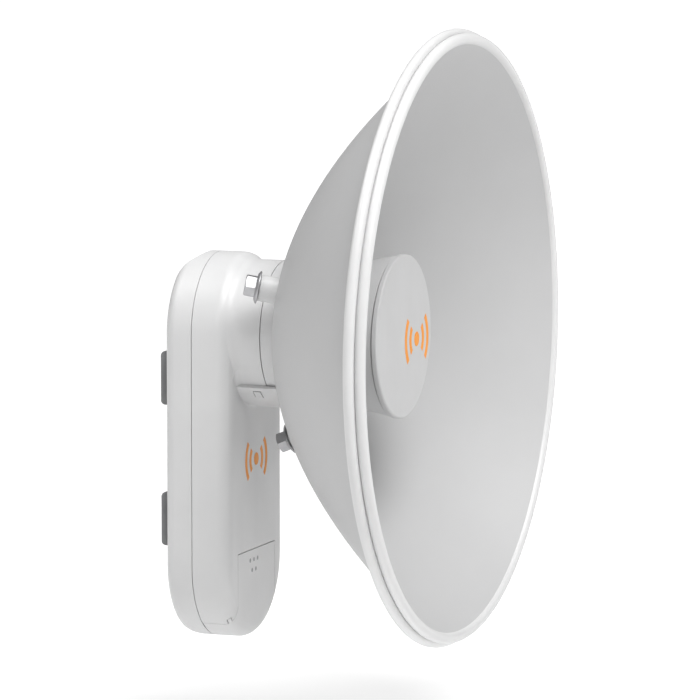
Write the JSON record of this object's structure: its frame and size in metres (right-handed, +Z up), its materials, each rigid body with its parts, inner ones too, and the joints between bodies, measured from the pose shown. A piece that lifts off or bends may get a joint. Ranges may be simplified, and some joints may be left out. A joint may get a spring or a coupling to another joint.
{
  "type": "outdoor wireless bridge",
  "caption": "Pole-mounted outdoor wireless bridge: slim upright radio with a twist-on parabolic dish, round sub-reflector, sliding port cover and strap saddles.",
  "frame": {"origin": "on the axis of the pole, midway between the two saddles", "axes": "+Z up along the pole, +Y from the dish back towards the pole, +X to the right of someone facing the dish; the dish looks along -Y"},
  "size_m": [0.25, 0.1236, 0.2517],
  "materials": {
    "dish_metal": "matte light grey paint",
    "white_plastic": "satin white, fine texture",
    "rim_plastic": "glossy white",
    "cap_plastic": "matte light grey",
    "grey_plastic": "matte grey",
    "orange_plastic": "satin orange",
    "steel": "brushed",
    "bare_aluminium": "bare",
    "black_rubber": "matte",
    "feed_plastic": "milky",
    "board": "green solder mask",
    "black_plastic": "matte black",
    "gold": "gold plated",
    "clear_plastic": "milky clear",
    "red_plastic": "matte red"
  },
  "bodies": {
    "radio": {"front_shell": "white_plastic", "rear_shell": "white_plastic", "case_gasket": "black_rubber", "case_screws": "steel", "hub_seal": "black_rubber", "lock_spring": "steel", "saddle_upper": "grey_plastic", "saddle_lower": "grey_plastic", "saddle_screws": "steel", "ground_screw": "steel", "ground_washer": "steel", "vent_plug": "black_plastic", "radio_emblem": "orange_plastic", "main_board": "board", "shield_can": "bare_aluminium", "board_chips": "black_plastic", "lan_transformer": "black_plastic", "ethernet_jack": "steel", "jack_contacts": "gold", "status_leds": "clear_plastic", "light_pipes": "clear_plastic", "reset_switch": "black_plastic", "omt_cup": "bare_aluminium", "probes": "gold", "cover_seal": "black_rubber"},
    "antenna": {"reflector": "dish_metal", "rim_trim": "rim_plastic", "hub_ring": "white_plastic", "hub_screws": "steel", "standoffs": "white_plastic", "hub_bolts": "steel", "hub_nuts": "steel", "feed_base": "cap_plastic", "feed_tube": "bare_aluminium", "feed_plug": "feed_plastic", "feed_cone": "cap_plastic", "cone_screws": "steel", "subreflector": "bare_aluminium", "sub_screws": "steel", "disc_cap": "cap_plastic", "disc_emblem": "orange_plastic"},
    "port_door": {"port_cover": "white_plastic", "cover_lenses": "clear_plastic", "cable_gland": "black_rubber"},
    "left_lock_tab": {"lock_tab_left": "white_plastic"},
    "right_lock_tab": {"lock_tab_right": "white_plastic"},
    "reset_cap": {"reset_button": "red_plastic"}
  },
  "joints": [
    {"name": "antenna_twist", "type": "hinge", "parent": "radio", "child": "antenna", "pos_m": [0, -0.0597, 0.04725], "axis": [0, -1, 0], "range_deg": [0, 40]},
    {"name": "port_cover_slide", "type": "slide", "parent": "radio", "child": "port_door", "axis": [0, 0, -1], "range_m": [0, 0.034]},
    {"name": "left_lock_press", "type": "slide", "parent": "radio", "child": "left_lock_tab", "axis": [0.6428, 0, 0.766], "range_m": [0, 0.0012], "stiffness_N_per_m": 1500, "springref_m": -0.001},
    {"name": "right_lock_press", "type": "slide", "parent": "radio", "child": "right_lock_tab", "axis": [-0.6428, 0, 0.766], "range_m": [0, 0.0012], "stiffness_N_per_m": 1500, "springref_m": -0.001},
    {"name": "reset_press", "type": "slide", "parent": "radio", "child": "reset_cap", "axis": [0, 1, 0], "range_m": [0, 0.0008], "stiffness_N_per_m": 1500, "springref_m": -0.001}
  ]
}
